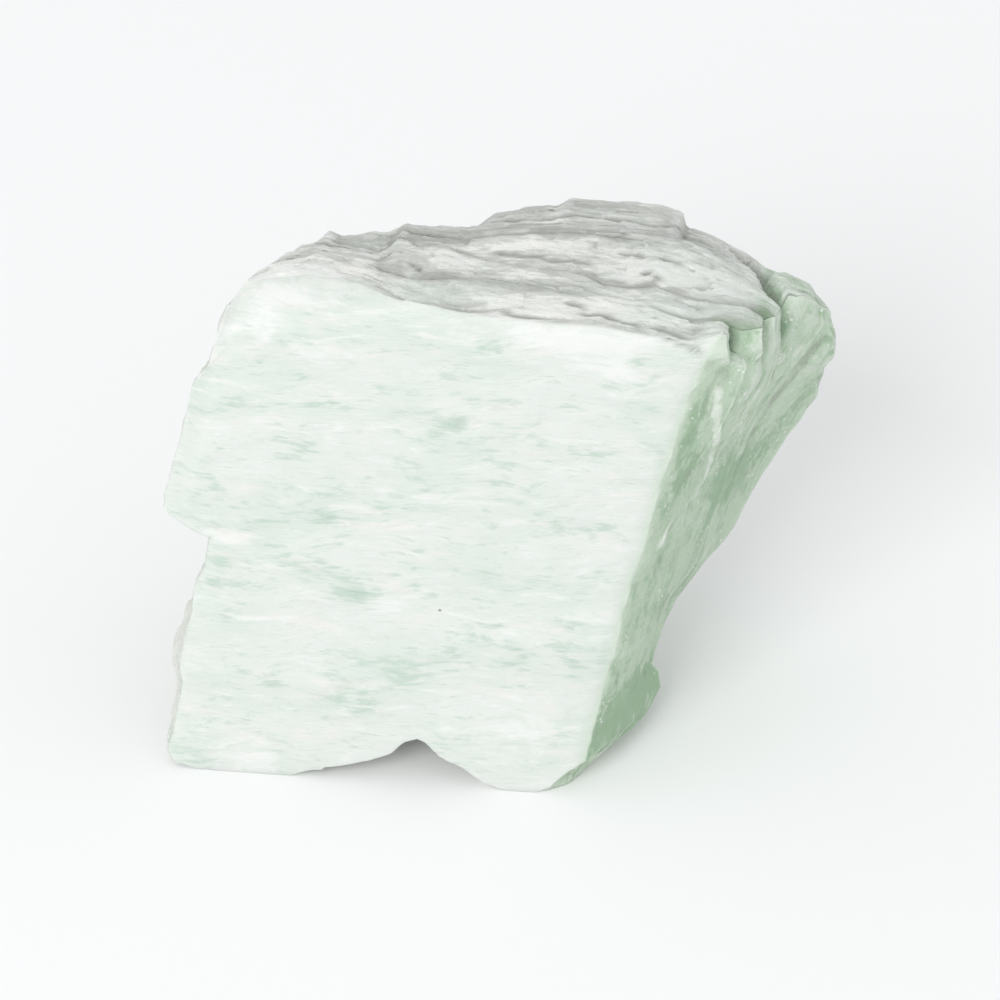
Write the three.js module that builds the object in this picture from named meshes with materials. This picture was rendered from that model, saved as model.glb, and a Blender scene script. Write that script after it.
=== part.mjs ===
// Rough amazonite: one broken block of green and white feldspar, standing free on the ground.
//
// The block is a stack of cleavage sheets that lean back from the front face. Its shape is worked out in the
// sheets' own axes: "across" and "up" lie in the front face, and "deep" runs into the stone, square to it.
// Each vertex is a place on the skin of a unit box (s across, w up, t deep), set between six boundary
// functions, one for each side of the block. Every ledge, groove, notch and lobe is part of one of them.
//
// Millimetres, +Z up. The origin is on the ground, under the middle of the block's bounding box.

import * as THREE from "three";

// Driving dimensions
const LEAN = THREE.MathUtils.degToRad(17); // the front face leans back from upright
const YAW = THREE.MathUtils.degToRad(6); // and turns a little to the left
const DEPTH = 18.5; // front face to rear face
const SHEET_ENDS = [3.3, 5.8, 8.8, 11.2, 13.6, 16.2]; // depths where one sheet ends and the next starts
const OPEN_SEAMS = [ // the sheet ends that gape, and the stretch of the top along which they do
  { deep: 3.3, middle: 8, halfLength: 9 },
  { deep: 5.8, middle: -2, halfLength: 9 },
  { deep: 11.2, middle: 2, halfLength: 12 },
  { deep: 16.2, middle: -8, halfLength: 9 },
];
const SEAM_HALF_WIDTH = 0.18;
const STONE = { color: 0xd3e4d8, roughness: 0.62, metalness: 0 };

// Outlines of the front face, as [up, across] for its sides and [across, up] for its top and foot
const FRONT_LEFT = [
  [1.2, -20.2], [2.3, -19.9], [3.9, -19.6], [5.7, -19.3], [6.9, -19.5], [8.5, -19.2], [10.4, -18.8],
  [11.9, -18.7], [13.1, -18.1], [15.2, -17.8], [15.5, -18.9], [16.1, -20.3], [16.4, -20.7],
  [17.8, -20.5], [19.6, -20.1], [21.4, -19.6], [23.8, -19.2], [25.3, -18.7], [26.0, -18.0],
  [27.8, -17.6], [29.4, -17.2],
];
const FRONT_RIGHT = [
  [2.0, 5.0], [4.3, 5.4], [6.5, 5.9], [8.7, 6.4], [11.1, 6.8], [13.6, 7.3], [15.4, 7.9], [17.5, 8.3],
  [19.9, 8.8], [22.3, 9.5], [25.0, 10.2], [27.1, 11.0], [29.3, 12.0],
];
const FRONT_TOP = [
  [-17.2, 29.4], [-16.0, 31.0], [-12.5, 31.1], [-9.7, 30.6], [-7.7, 30.1], [-4.9, 29.8], [-2.6, 29.4],
  [2.2, 29.2], [5.0, 29.2], [7.8, 28.8], [10.4, 28.6], [12.0, 29.3],
];
const FRONT_FOOT = [
  [-20.2, 1.2], [-19.8, 0.4], [-18.1, 0.0], [-14.0, 0.0], [-12.5, 0.1], [-11.4, 0.5], [-9.3, 0.9],
  [-7.9, 1.3], [-6.7, 1.8], [-5.9, 2.6], [-5.1, 2.9], [-4.6, 2.7], [-3.8, 2.0], [-2.4, 1.3], [-1.2, 0.5],
  [0.0, 0.1], [1.8, 0.0], [2.9, 0.4], [4.0, 1.5], [5.0, 2.0],
];

// Where the top stops being level and starts to fall to the rear, as [across, deep, up]
const TOP_RIDGE = [
  [-17.0, 1.5, 29.3], [-16.0, 3.5, 30.2], [-14.5, 5.3, 30.9], [-12.0, 8.2, 31.9], [-9.5, 8.8, 32.1],
  [-7.9, 9.3, 31.8], [-3.0, 9.2, 32.0], [0.0, 9.1, 32.4], [4.5, 9.0, 32.2], [9.3, 9.0, 32.0],
  [12.0, 9.0, 31.1], [14.2, 8.6, 30.2], [15.2, 11.5, 30.4], [16.6, 11.0, 29.6], [17.4, 10.0, 28.8],
  [18.2, 9.5, 28.0],
];

// Outlines of the rear: [up, across] on the left, [up, across, deep] on the right, [across, up] along the top
const REAR_LEFT = [[5.6, -16.8], [9.0, -17.8], [14.0, -17.0], [17.0, -18.0], [23.5, -16.5]];
const REAR_RIGHT = [
  [2.2, 6.0, 1.8], [2.4, 7.6, 4.8], [2.7, 8.5, 6.8], [3.2, 8.9, 7.7], [4.3, 8.7, 7.6], [5.2, 8.3, 7.0],
  [5.9, 8.5, 7.4], [7.4, 9.0, 8.4], [8.4, 9.6, 9.6], [8.9, 10.5, 11.4], [9.4, 11.7, 13.6], [10.1, 12.6, 15.4],
  [12.2, 13.5, 16.5], [15.0, 14.8, 17.1], [19.3, 16.4, 16.5], [23.5, 17.5, 13.5],
];
const REAR_TOP = [
  [-16.5, 23.5], [-12.0, 25.5], [-8.0, 27.5], [-4.0, 30.0], [-2.9, 31.2], [-0.6, 31.7], [0.9, 31.9],
  [1.6, 32.4], [5.0, 32.4], [7.7, 32.2], [9.2, 31.7], [9.6, 30.8], [10.6, 30.6], [12.6, 29.7],
  [14.7, 28.7], [15.5, 27.5], [17.5, 23.5],
];

// Relief of the sheets' edges, side by side, and the spans of its wavers
const STEP = { top: 0.5, left: 0.8, right: 0.3 }; // how far one sheet stands out past the next
const TILT = { top: 0.8, left: 0.6, right: 0.3 }; // how much a sheet's edge slopes
const JAG = { top: 0.35, left: 0.3, right: 0.2 }; // how rough that edge is
const SEAM_CUT = { top: 1.0, left: 0.6, right: 0.4 }; // how far an open seam cuts in
const SEED = { left: 11, right: 21, top: 31, rear: 42, front: 51, foot: 61, seam: 5 };
const SPAN = { step: 7, tilt: 9, jag: 2.6, seam: 4, foot: 4.2, frontAcross: 12, frontUp: 3.2 };
const FADE = 1.5; // the relief starts this far behind the front face
const SKEW = 0.2; // how far the sheets swing askew at mid-depth, as a share of the depth
const SKEW_PIVOT = 0.6; // the share of the width where they don't

// Single features
const TOP_RIGHT_CORNER = { from: 0.82, full: 0.96 }; // shares of the height over which the ends step out
const SHEET_RIGHT_ENDS = [12.3, 14.3, 15.0]; // the first sheets' right ends at the top, each beyond the last
const KNOB = [[6.2, 15.2], [7.5, 17.0], [9.5, 18.2], [11.5, 18.1], [13.5, 17.5]]; // [deep, across]
const KNOB_GROOVE = { across: 15.2, slant: 0.4, starts: 6.2, cut: 1.4, halfWidth: 0.7 }; // left of the knob
const RIGHT_SWELL = { out: 0.7, middle: 0.42, from: 0.3 }; // the right side's crest, in shares of its depth
const RIGHT_SMOOTH = { below: 0.3, above: 0.7 }; // the right side is smooth below, with sheet edges above
const LIP_HOLLOW = { across: -4.6, halfLength: 4.0, deep: 1.7, halfWidth: 1.4, cut: 0.6 }; // in the top
const TOP_LEFT_BEVEL = { cut: 0.8, height: 1.7, length: 0.38 };
const LEFT_BEVEL = { cut: 0.7, share: 0.053, low: 15.2, high: 25.6 };
const FRONT_WAVER = 0.16;
const FRONT_EDGE_DROP = 0.25;
const REAR_WAVER = 0.6;
const REAR_FLAKE = { cut: 1.0, start: 0.6, slope: 0.3, width: 0.09 }; // a thin sheet missing at the right
const REAR_RIGHT_FACET = 0.3; // the share of the width that the broken facet at the rear right takes
const FOOT = { rise: 0.9, rough: 0.8, lobesReach: 9, worn: 2.6 };
const REST_SPOTS = [ // [across, deep, radius]: the worn patches that it stands on
  [-15.6, 3.0, 4.4],
  [1.4, 2.6, 3.6],
  [-12.5, 15.2, 4.6],
  [-3.6, 15.8, 4.0],
];

// How finely the box's skin is ruled
const ACROSS_LINES = 29;
const UP_LINES = 28;
const NOTCH_HEIGHTS = [15.2, 15.9, 16.4]; // extra lines up, where the left outline jogs
const GROOVE_PLACES = [0.9, 0.925]; // extra lines across, beside the knob

const clamp01 = (x) => Math.min(1, Math.max(0, x));
const smooth = (x) => clamp01(x) ** 2 * (3 - 2 * clamp01(x));
const rise = (x, from, full) => smooth((x - from) / (full - from));
const mix = (a, b, k) => a + (b - a) * k;
const fract = (x) => x - Math.floor(x);

// A round-topped hump of height 1 at the middle of an ellipse, and 0 outside it
const hump = (x, y = 0) => clamp01(1 - x * x - y * y);

// The value at x on straight lines through points whose first number is x
function follow(points, x, column = 1) {
  const next = points.findIndex((p) => p[0] >= x);
  if (next < 1) return points.at(next)[column];
  const [a, b] = [points[next - 1], points[next]];
  return mix(a[column], b[column], (x - a[0]) / (b[0] - a[0]));
}

// The first number that lies a share of the way along such points
const along = (points, share) => mix(points[0][0], points.at(-1)[0], share);

// Smooth noise in two directions, from -1 to 1
function noise(x, y, seed) {
  const [i, j] = [Math.floor(x), Math.floor(y)];
  const hash = (a, b) => fract(Math.sin(a * 127.1 + b * 311.7 + seed * 74.7) * 43758.5453) * 2 - 1;
  const near = mix(hash(i, j), hash(i + 1, j), smooth(x - i));
  const far = mix(hash(i, j + 1), hash(i + 1, j + 1), smooth(x - i));
  return mix(near, far, smooth(y - j));
}

const roughness = (x, y, seed) => noise(x, y, seed) * 0.65 + noise(x * 2.3, y * 2.3, seed + 9) * 0.35;

const sheetAt = (depth) => SHEET_ENDS.filter((end) => end < depth).length;

// How far a side stands out at a place along it, from the sheets that end there. It starts behind the front.
function sheetRelief(side, place, depth, deep = depth) {
  const sheet = sheetAt(depth);
  const ends = [0, ...SHEET_ENDS, DEPTH];
  const within = (depth - ends[sheet]) / (ends[sheet + 1] - ends[sheet]) - 0.5;
  const step = STEP[side] * noise(place / SPAN.step, sheet * 3.7, SEED[side]);
  const tilt = TILT[side] * noise(place / SPAN.tilt, sheet * 5.3, SEED[side] + 1) * within;
  const jag = JAG[side] * roughness(place / SPAN.jag, sheet * 7.1 + within, SEED[side] + 2);
  return (step + tilt + jag) * rise(deep, 0, FADE);
}

// How deep the open seams cut into a side there
function seamCut(side, place, depth) {
  const cuts = OPEN_SEAMS.map(({ deep, middle, halfLength }) => {
    const wavering = 0.5 + 0.5 * noise(place / SPAN.seam, deep, SEED.seam);
    const gape = side === "top" ? hump((place - middle) / halfLength) : wavering;
    return gape * clamp01(1 - Math.abs(deep - depth) / SEAM_HALF_WIDTH);
  });
  return SEAM_CUT[side] * Math.max(...cuts);
}

// The six boundary functions. s, w and t run from 0 to 1 across, up and deep.
function leftAcross(w, t) {
  const depth = t * DEPTH;
  const height = along(FRONT_LEFT, w);
  const outline = mix(follow(FRONT_LEFT, height), follow(REAR_LEFT, along(REAR_LEFT, w)), rise(t, 0, 0.62));
  return outline - sheetRelief("left", height, depth) + seamCut("left", height, depth);
}

function rightAcross(w, t) {
  const depth = t * DEPTH;
  const height = along(FRONT_RIGHT, w);
  const front = follow(FRONT_RIGHT, height);
  const swell = RIGHT_SWELL.out * hump(t / RIGHT_SWELL.middle - 1) * rise(w, 0, RIGHT_SWELL.from);
  const outline = mix(front, follow(REAR_RIGHT, along(REAR_RIGHT, w)), t) + swell;
  const end = SHEET_RIGHT_ENDS[sheetAt(depth)] ?? follow(KNOB, t * KNOB.at(-1)[0]);
  const stepped = mix(front, end, rise(depth, 0, 0.4));
  const relief = sheetRelief("right", height, depth) * rise(t, 1, 0.87) - seamCut("right", height, depth);
  return mix(outline, stepped, rise(w, TOP_RIGHT_CORNER.from, TOP_RIGHT_CORNER.full))
    + relief * rise(w, RIGHT_SMOOTH.below, RIGHT_SMOOTH.above);
}

// The height of the top, level as far as the ridge and falling from there to the rear
function topUp(s, t) {
  const across = mix(leftAcross(1, t), rightAcross(1, t), s);
  const deep = deepAt(s, 1, t);
  const ridge = follow(TOP_RIDGE, across);
  const crest = follow(TOP_RIDGE, across, 2);
  const level = mix(follow(FRONT_TOP, across), crest, deep / ridge);
  const fall = mix(crest, follow(REAR_TOP, across), (deep - ridge) / (rearDeep(s, 1) - ridge));
  const lip = LIP_HOLLOW.cut * hump(
    (across - LIP_HOLLOW.across) / LIP_HOLLOW.halfLength,
    (deep - LIP_HOLLOW.deep) / LIP_HOLLOW.halfWidth,
  );
  const pastGroove = across - KNOB_GROOVE.across + KNOB_GROOVE.slant * Math.max(0, deep - KNOB_GROOVE.starts);
  const groove = KNOB_GROOVE.cut * hump(pastGroove / KNOB_GROOVE.halfWidth)
    * rise(deep, KNOB_GROOVE.starts, KNOB_GROOVE.starts + FADE) * rise(t, 1, 0.8);
  const relief = sheetRelief("top", across, t * DEPTH, deep) * rise(t, 1, 0.92);
  return (deep < ridge ? level : fall) + relief - seamCut("top", across, t * DEPTH) - lip - groove;
}

// The height of the underside above the ground: the front's two lobes run back and their gap closes
function footHeight(s, deep) {
  const across = along(FRONT_FOOT, s);
  const lobes = follow(FRONT_FOOT, across) * Math.cos(LEAN);
  const rough = FOOT.rise + FOOT.rough * roughness(across / SPAN.foot, deep / SPAN.foot, SEED.foot);
  const spots = REST_SPOTS.map(([x, y, radius]) => hump((across - x) / radius, (deep - y) / radius));
  const worn = FOOT.worn * Math.max(...spots) * rise(deep, 0, FADE);
  return Math.max(0, mix(lobes, rough, rise(deep, 0, FOOT.lobesReach)) - worn);
}

function frontDeep(s, w) {
  const up = mix(follow(FRONT_FOOT, along(FRONT_FOOT, s)), follow(FRONT_TOP, along(FRONT_TOP, s)), w);
  const fromTop = FRONT_LEFT.at(-1)[0] - up;
  const topLeft = TOP_LEFT_BEVEL.cut * rise(fromTop, TOP_LEFT_BEVEL.height, 0)
    * clamp01(1 - s / TOP_LEFT_BEVEL.length);
  const left = LEFT_BEVEL.cut * clamp01(1 - s / LEFT_BEVEL.share)
    * rise(up, LEFT_BEVEL.low, LEFT_BEVEL.low + 1) * rise(up, LEFT_BEVEL.high, LEFT_BEVEL.high - 1);
  const edge = FRONT_EDGE_DROP * (1 - hump(2 * s - 1) * Math.sqrt(hump(2 * w - 1))) ** 3;
  return topLeft + left + edge
    + FRONT_WAVER * noise(along(FRONT_FOOT, s) / SPAN.frontAcross, up / SPAN.frontUp, SEED.front);
}

function rearDeep(s, w) {
  const right = follow(REAR_RIGHT, along(REAR_RIGHT, w), 2);
  const flake = REAR_FLAKE.cut * smooth((s - REAR_FLAKE.start + REAR_FLAKE.slope * w) / REAR_FLAKE.width);
  const full = DEPTH - flake + REAR_WAVER * roughness(s * 5, w * 5, SEED.rear);
  return mix(right, full, clamp01((1 - s) / REAR_RIGHT_FACET));
}

// How deep a place on the unit box's skin lies
function deepAt(s, w, t) {
  const skewed = t + SKEW * (SKEW_PIVOT - s) * t * (1 - t);
  return mix(frontDeep(s, w), rearDeep(s, w), skewed);
}

// Where it lies, in across, up and deep
function sheetPlace(s, w, t) {
  const across = mix(leftAcross(w, t), rightAcross(w, t), s);
  const deep = deepAt(s, w, t);
  const foot = (footHeight(s, deep) + deep * Math.sin(LEAN)) / Math.cos(LEAN);
  return [across, mix(foot, topUp(s, t), w), deep];
}

// Evenly spaced lines from 0 to 1, with extra ones put in
function ruled(count, extras = []) {
  const even = Array.from({ length: count }, (_, i) => i / (count - 1));
  const near = (x) => extras.some((e) => Math.abs(e - x) < 0.3 / count) && x > 0 && x < 1;
  return [...even.filter((x) => !near(x)), ...extras].sort((a, b) => a - b);
}

// Lines deep: one just inside each edge of every sheet, one down each open seam, one along each middle
function ruledDeep() {
  const ends = [0, ...SHEET_ENDS, DEPTH];
  const middles = ends.slice(1).map((end, i) => (end + ends[i]) / 2);
  const edges = SHEET_ENDS.flatMap((end) => [end - SEAM_HALF_WIDTH, end + SEAM_HALF_WIDTH]);
  const seams = OPEN_SEAMS.map((seam) => seam.deep);
  return [0, DEPTH, ...middles, ...edges, ...seams].sort((a, b) => a - b).map((depth) => depth / DEPTH);
}

// The block's closed skin: the six sides of the box, ruled by the lines given, sharing their edges' vertices
function blockGeometry(acrossLines, upLines, deepLines, placeOf) {
  const [ns, nw, nt] = [acrossLines.length - 1, upLines.length - 1, deepLines.length - 1];
  const index = new Map();
  const positions = [];
  const vertex = (i, j, k) => {
    const key = (i * (nw + 1) + j) * (nt + 1) + k;
    if (!index.has(key)) {
      index.set(key, positions.length / 3);
      positions.push(...placeOf(acrossLines[i], upLines[j], deepLines[k]).toArray());
    }
    return index.get(key);
  };
  const triangles = [];
  const side = (countA, countB, at) => {
    for (let a = 0; a < countA; a++) {
      for (let b = 0; b < countB; b++) {
        const [p, q, r, o] = [at(a, b), at(a + 1, b), at(a + 1, b + 1), at(a, b + 1)];
        triangles.push(p, q, r, p, r, o);
      }
    }
  };
  side(ns, nw, (a, b) => vertex(a, b, 0)); // front
  side(nw, ns, (a, b) => vertex(b, a, nt)); // rear
  side(nt, nw, (a, b) => vertex(ns, b, a)); // right
  side(nw, nt, (a, b) => vertex(0, a, b)); // left
  side(ns, nt, (a, b) => vertex(a, nw, b)); // top
  side(nt, ns, (a, b) => vertex(b, 0, a)); // foot
  const geometry = new THREE.BufferGeometry();
  geometry.setAttribute("position", new THREE.Float32BufferAttribute(positions, 3));
  geometry.setIndex(triangles);
  return geometry;
}

function amazoniteBlock() {
  const stand = new THREE.Matrix4().makeRotationZ(-YAW).multiply(new THREE.Matrix4().makeRotationX(-LEAN));
  const [lowest, highest] = [along(FRONT_LEFT, 0), along(FRONT_LEFT, 1)];
  const notchLines = NOTCH_HEIGHTS.map((up) => (up - lowest) / (highest - lowest));
  const geometry = blockGeometry(
    ruled(ACROSS_LINES, GROOVE_PLACES),
    ruled(UP_LINES, notchLines),
    ruledDeep(),
    (s, w, t) => {
      const [across, up, deep] = sheetPlace(s, w, t);
      const place = new THREE.Vector3(across, deep, up).applyMatrix4(stand);
      return place.setZ(Math.max(0, place.z));
    },
  );
  geometry.computeBoundingBox();
  const middle = geometry.boundingBox.getCenter(new THREE.Vector3());
  geometry.translate(-middle.x, -middle.y, 0);
  geometry.computeVertexNormals();
  const stone = new THREE.Mesh(geometry, new THREE.MeshStandardMaterial({ ...STONE, flatShading: true }));
  stone.name = "amazonite_block";
  return stone;
}

const specimen = new THREE.Group();
specimen.add(amazoniteBlock());

export default specimen;
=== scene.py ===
import math

import bpy
import numpy as np
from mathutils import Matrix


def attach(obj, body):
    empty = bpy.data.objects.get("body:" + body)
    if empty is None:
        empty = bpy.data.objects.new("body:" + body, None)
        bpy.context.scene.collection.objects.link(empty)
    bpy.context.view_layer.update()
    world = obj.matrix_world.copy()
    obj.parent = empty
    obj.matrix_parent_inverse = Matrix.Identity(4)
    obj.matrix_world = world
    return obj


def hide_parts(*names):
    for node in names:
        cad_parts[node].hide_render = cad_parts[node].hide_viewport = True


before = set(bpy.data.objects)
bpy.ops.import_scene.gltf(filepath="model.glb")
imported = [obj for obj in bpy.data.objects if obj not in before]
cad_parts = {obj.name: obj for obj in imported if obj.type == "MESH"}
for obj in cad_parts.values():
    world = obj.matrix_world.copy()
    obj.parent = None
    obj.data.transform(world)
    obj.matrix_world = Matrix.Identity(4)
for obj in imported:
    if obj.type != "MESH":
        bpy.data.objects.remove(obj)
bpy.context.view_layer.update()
print("frame loaded")

millimetre = 0.001


def addObject(name, data):
    thing = bpy.data.objects.new(name, data)
    bpy.context.collection.objects.link(thing)
    return thing


def addMesh(name, points, faces):
    mesh = bpy.data.meshes.new(name)
    mesh.from_pydata(points.tolist(), [], faces)
    return addObject(name, mesh)


def standAt(thing, view):
    # place = target + distance * (sin(a) cos(e), -cos(a) cos(e), sin(e)), looking back at the target
    a, e, far = math.radians(view["azimuth"]), math.radians(view["elevation"]), view["distance"]
    x, y, z = view["target"]
    flat = (x + far * math.sin(a) * math.cos(e), y - far * math.cos(a) * math.cos(e))
    thing.location = (*flat, z + far * math.sin(e))
    thing.rotation_euler = (math.radians(90) - e, 0, a)


cameraView = {
    "target": (-0.000076, -0.002047, 0.01366),
    "distance": 0.3,
    "azimuth": 0,
    "elevation": 35,
    "lens": 180,
    "sensor": 36,
    "nearest": 0.01,
}


def makeCamera(view):
    data = bpy.data.cameras.new("camera")
    data.lens = view["lens"]
    data.sensor_width = view["sensor"]
    data.clip_start = view["nearest"]
    bpy.context.scene.camera = addObject("camera", data)
    standAt(bpy.context.scene.camera, view)


makeCamera(cameraView)
print("camera placed")

lightRig = {
    "target": (0, 0, 0),
    "distance": 1.2,
    "azimuth": -28,
    "elevation": 34,
    "power": 5.8,
    "size": 0.6,
    "skyStrength": 0.83,
    "skyColour": (0.975, 0.99, 1, 1),
}


def makeLight(rig):
    data = bpy.data.lights.new("softbox", "AREA")
    data.energy = rig["power"]
    data.shape = "SQUARE"
    data.size = rig["size"]
    standAt(addObject("softbox", data), rig)
    sky = bpy.data.worlds.new("sky")
    sky.use_nodes = True
    background = sky.node_tree.nodes["Background"]
    background.inputs["Color"].default_value = rig["skyColour"]
    background.inputs["Strength"].default_value = rig["skyStrength"]
    bpy.context.scene.world = sky
    bpy.context.scene.view_settings.view_transform = "Standard"


makeLight(lightRig)
print("light set")


def clamp01(x):
    # held to 0..1
    return np.clip(x, 0, 1)


def smooth(x):
    # 3 x^2 - 2 x^3, held to 0..1
    x = clamp01(x)
    return x * x * (3 - 2 * x)


def rise(x, low, full):
    # 0 at low, 1 at full, smooth between; low may be the greater
    return smooth((x - low) / (full - low))


def mix(a, b, share):
    # a at 0, b at 1, a straight line between
    return a + (b - a) * share


def hump(x, y=0.0):
    # 1 - x^2 - y^2, never below 0
    return clamp01(1 - x * x - y * y)


def follow(points, x, column=1):
    # straight lines through points whose first number is x
    table = np.array(points)
    return np.interp(x, table[:, 0], table[:, column])


def along(points, share):
    # the first number that lies a share of the way along the points
    return mix(points[0][0], points[-1][0], share)


def traced(points, share, column=1):
    # what the points' lines give there, as their second or third number
    return follow(points, along(points, share), column)


# the hash's steps along each axis and from seed to seed, then its keys for a facet
hashSteps = np.array([127.1, 311.7, 269.5])
seedStep = 74.7
facetKeys = {"middle": (1.7, 3.7), "tilt": (13.9, 3.9), "height": 26.3}


def hashed(x):
    # fraction of sin(x) * 43758.5453, spread over -1..1
    x = np.sin(x) * 43758.5453
    return (x - np.floor(x)) * 2 - 1


def noise(x, y, seed):
    # four hashed corners of a square, blended by smooth shares
    x, y = np.broadcast_arrays(x, y)
    i, j = np.floor(x), np.floor(y)
    u, v = smooth(x - i), smooth(y - j)

    def corner(a, b):
        return hashed((i + a) * hashSteps[0] + (j + b) * hashSteps[1] + seed * seedStep)

    return mix(mix(corner(0, 0), corner(1, 0), u), mix(corner(0, 1), corner(1, 1), u), v)


def roughness(x, y, seed):
    # two octaves: 0.65 noise(p) + 0.35 noise(2.3 p)
    return noise(x, y, seed) * 0.65 + noise(x * 2.3, y * 2.3, seed + 9) * 0.35


def noiseInSpace(points, size, seed):
    # eight hashed corners of a cube, blended by smooth shares
    q = points / size
    cell = np.floor(q)
    share = smooth(q - cell)
    total = 0
    for corner in np.ndindex(2, 2, 2):
        value = hashed((cell + corner) @ hashSteps + seed * seedStep)
        weight = np.prod(np.where(corner, share, 1 - share), axis=1)
        total = total + value * weight
    return total


def keyed(key, kind, ways):
    # one hashed number for each axis
    first, step = facetKeys[kind]
    return np.stack([hashed(key + first + step * k) for k in range(ways)], 1)


def brokenFacets(points, size, seed):
    # each scattered middle owns the points nearest to it; height = its tilt . (point - middle) + its level
    q = points / size
    cell = np.floor(q)
    ways = q.shape[1]
    best = np.full(len(q), np.inf)
    height = np.zeros(len(q))
    for step in np.ndindex(*[3] * ways):
        home = cell + step - 1
        key = home @ hashSteps[:ways] + seed * seedStep
        middle = home + 0.5 + 0.45 * keyed(key, "middle", ways)
        away = q - middle
        far = (away ** 2).sum(1)
        own = (keyed(key, "tilt", ways) * away).sum(1) + 0.5 * hashed(key + facetKeys["height"])
        nearer = far < best
        height = np.where(nearer, own, height)
        best = np.where(nearer, far, best)
    return height


def patches(marks, x, y):
    # the sum of each mark's strength * exp(-(x away / half length)^2 - (y away / half width)^2)
    total = 0 * x
    for middleX, middleY, halfLength, halfWidth, strength in marks:
        away = ((x - middleX) / halfLength) ** 2 + ((y - middleY) / halfWidth) ** 2
        total = total + strength * np.exp(-away)
    return total


crackLook = {
    "taper": 1,
    "waver": 0.14,
    "waverLength": 0.8,
    "ragged": 0.5,
    "raggedLength": 0.6,
    "raggedRow": 3.3,
    "dark": (1.6, 0.3),
}


def cracks(lines, x, y):
    # for each line (cut, half width, points) a V: cut * (1 - distance / half width), tapered at both ends;
    # also the share of painted shade along the line
    look = crackLook
    cut = 0 * x
    dark = 0 * x
    for deepest, halfWidth, points in lines:
        start, end = points[0][0], points[-1][0]
        ends = rise(x, start, start + look["taper"]) * rise(x, end, end - look["taper"])
        waver = look["waver"] * noise(x / look["waverLength"], 0 * x, start)
        ragged = noise(x / look["raggedLength"], 0 * x + look["raggedRow"], points[0][1])
        away = abs(y - follow(points, x) - waver) / (halfWidth * (1 + look["ragged"] * ragged))
        cut = np.maximum(cut, deepest * ends * clamp01(1 - away))
        dark = np.maximum(dark, ends * rise(away, *look["dark"]))
    return cut, dark


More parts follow.
